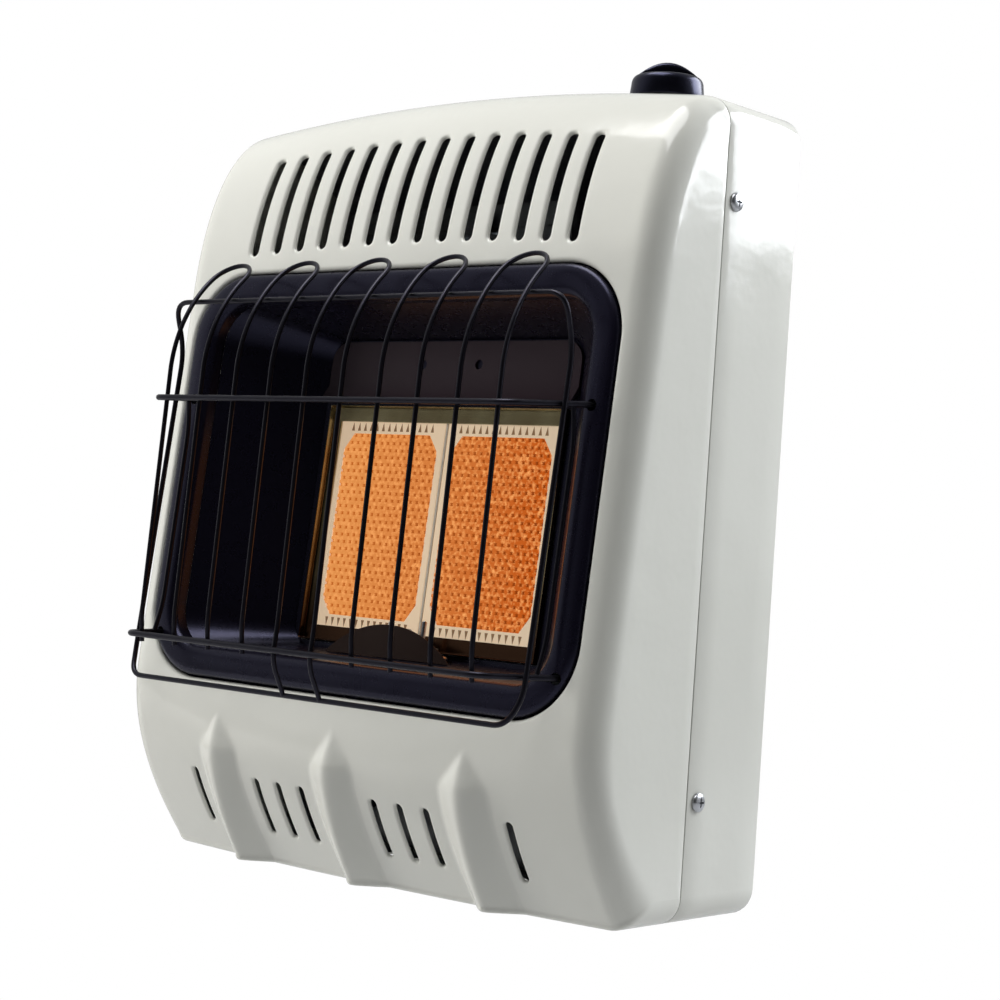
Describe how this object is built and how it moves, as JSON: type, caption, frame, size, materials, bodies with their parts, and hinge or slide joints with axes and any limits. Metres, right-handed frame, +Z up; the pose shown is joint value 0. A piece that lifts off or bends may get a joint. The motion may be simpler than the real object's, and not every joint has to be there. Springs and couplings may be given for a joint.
{
  "type": "wall mounted gas heater",
  "caption": "Radiant gas heater for a wall: pressed casing with louvres, wire guard, ceramic plaque burner, pilot, gas valve with a top knob, regulator and wall bracket.",
  "frame": {"origin": "centre of the wall bracket's rear face, on the wall", "axes": "+Y into the wall, +Z up, +X to the right as seen from the front; the fire faces -Y"},
  "size_m": [0.3886, 0.2129, 0.5009],
  "materials": {
    "casing": "gloss enamel",
    "black_enamel": "gloss enamel",
    "guard": "satin black",
    "galvanised": "galvanised",
    "bright_steel": "bright, heat tinted",
    "steel": "zinc plated",
    "ceramic": "glowing honeycomb ceramic",
    "fibre": "ceramic fibre",
    "brass": "turned",
    "cast": "die cast",
    "tube": "drawn tube",
    "knob": "black",
    "white_ceramic": "glazed",
    "lead": "black"
  },
  "bodies": {
    "heater": {"rear_cabinet": "casing", "front_cover": "casing", "back_panel": "galvanised", "wall_bracket": "galvanised", "front_bezel": "black_enamel", "firebox_liner": "black_enamel", "firebox_back_plate": "black_enamel", "upper_deflector": "black_enamel", "wire_guard": "guard", "burner_plenum": "cast", "plaque_left": "ceramic", "plaque_right": "ceramic", "plaque_gasket": "fibre", "reflector_frame": "bright_steel", "venturi_tube": "cast", "injector_bracket": "steel", "injector": "brass", "burner_bracket_left": "galvanised", "burner_bracket_right": "galvanised", "pilot_shield": "black_enamel", "pilot_bracket": "steel", "pilot_burner": "steel", "thermocouple": "steel", "igniter_electrode": "white_ceramic", "gas_valve": "cast", "valve_bracket": "galvanised", "valve_shield": "galvanised", "top_baffle": "galvanised", "regulator": "cast", "regulator_cap": "knob", "regulator_bracket": "galvanised", "inlet_fitting": "brass", "inlet_tube": "tube", "burner_tube": "tube", "pilot_tube": "tube", "thermocouple_lead": "tube", "igniter_lead": "lead", "side_screw_1": "steel", "back_screw_1": "steel", "side_screw_2": "steel", "back_screw_2": "steel", "side_screw_3": "steel", "back_screw_3": "steel", "side_screw_4": "steel", "back_screw_4": "steel", "pilot_shield_screw_1": "steel", "valve_screw_1": "steel", "regulator_screw_1": "steel", "pilot_shield_screw_2": "steel", "valve_screw_2": "steel", "regulator_screw_2": "steel"},
    "plug": {"valve_plug": "brass"},
    "knob": {"valve_stem": "steel", "control_knob": "knob"}
  },
  "joints": [
    {"name": "knob_turn", "type": "hinge", "parent": "heater", "child": "plug", "pos_m": [0.1145, -0.04, 0.052], "axis": [0, 0, 1], "range_deg": [0, 180]},
    {"name": "knob_push", "type": "slide", "parent": "plug", "child": "knob", "axis": [0, 0, -1], "range_m": [0, 0.003], "stiffness_N_per_m": 1000, "springref_m": -0.004}
  ]
}
